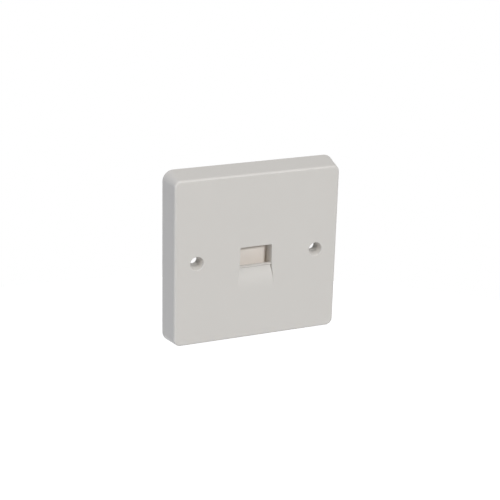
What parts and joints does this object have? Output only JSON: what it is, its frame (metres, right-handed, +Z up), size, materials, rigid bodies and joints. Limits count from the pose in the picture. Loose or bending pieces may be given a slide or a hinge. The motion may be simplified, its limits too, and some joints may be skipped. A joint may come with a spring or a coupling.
{
  "type": "telephone wall socket",
  "caption": "Square moulded wall plate with a telephone plug opening, a spring-loaded sliding shutter, a finger scoop and rear wire terminals.",
  "frame": {"origin": "middle of the plane in which the faceplate's back rim meets the wall, half way between the two fixing holes", "axes": "+Y into the wall, out of the plate's open back; +Z up; +X to the right of someone who faces the plate"},
  "size_m": [0.086, 0.0318, 0.086],
  "materials": {
    "white_plastic": "warm white satin moulding",
    "cream_plastic": "cream satin moulding",
    "grey_plastic": "grey moulding",
    "board_green": "green solder mask over glass-fibre board",
    "gold_plating": "gold-plated spring strip",
    "plated_steel": "bright plated steel"
  },
  "bodies": {
    "socket": {"faceplate": "white_plastic", "shutter_spring": "plated_steel", "jack_housing": "grey_plastic", "contact_spring_1": "gold_plating", "contact_spring_2": "gold_plating", "contact_spring_3": "gold_plating", "contact_spring_4": "gold_plating", "contact_spring_5": "gold_plating", "contact_spring_6": "gold_plating", "circuit_board": "board_green", "idc_block_upper": "white_plastic", "idc_block_lower": "white_plastic", "idc_blade_1": "plated_steel", "idc_blade_2": "plated_steel", "idc_blade_3": "plated_steel", "idc_blade_4": "plated_steel", "idc_blade_5": "plated_steel", "idc_blade_6": "plated_steel", "housing_screw_left": "plated_steel", "housing_screw_right": "plated_steel", "board_screw_left": "plated_steel", "board_screw_right": "plated_steel"},
    "shutter": {"shutter": "cream_plastic"}
  },
  "joints": [
    {"name": "shutter_slide", "type": "slide", "parent": "socket", "child": "shutter", "axis": [0, 0, -1], "range_m": [0, 0.011], "stiffness_N_per_m": 50, "springref_m": -0.006, "deforming": ["shutter_spring"]}
  ]
}
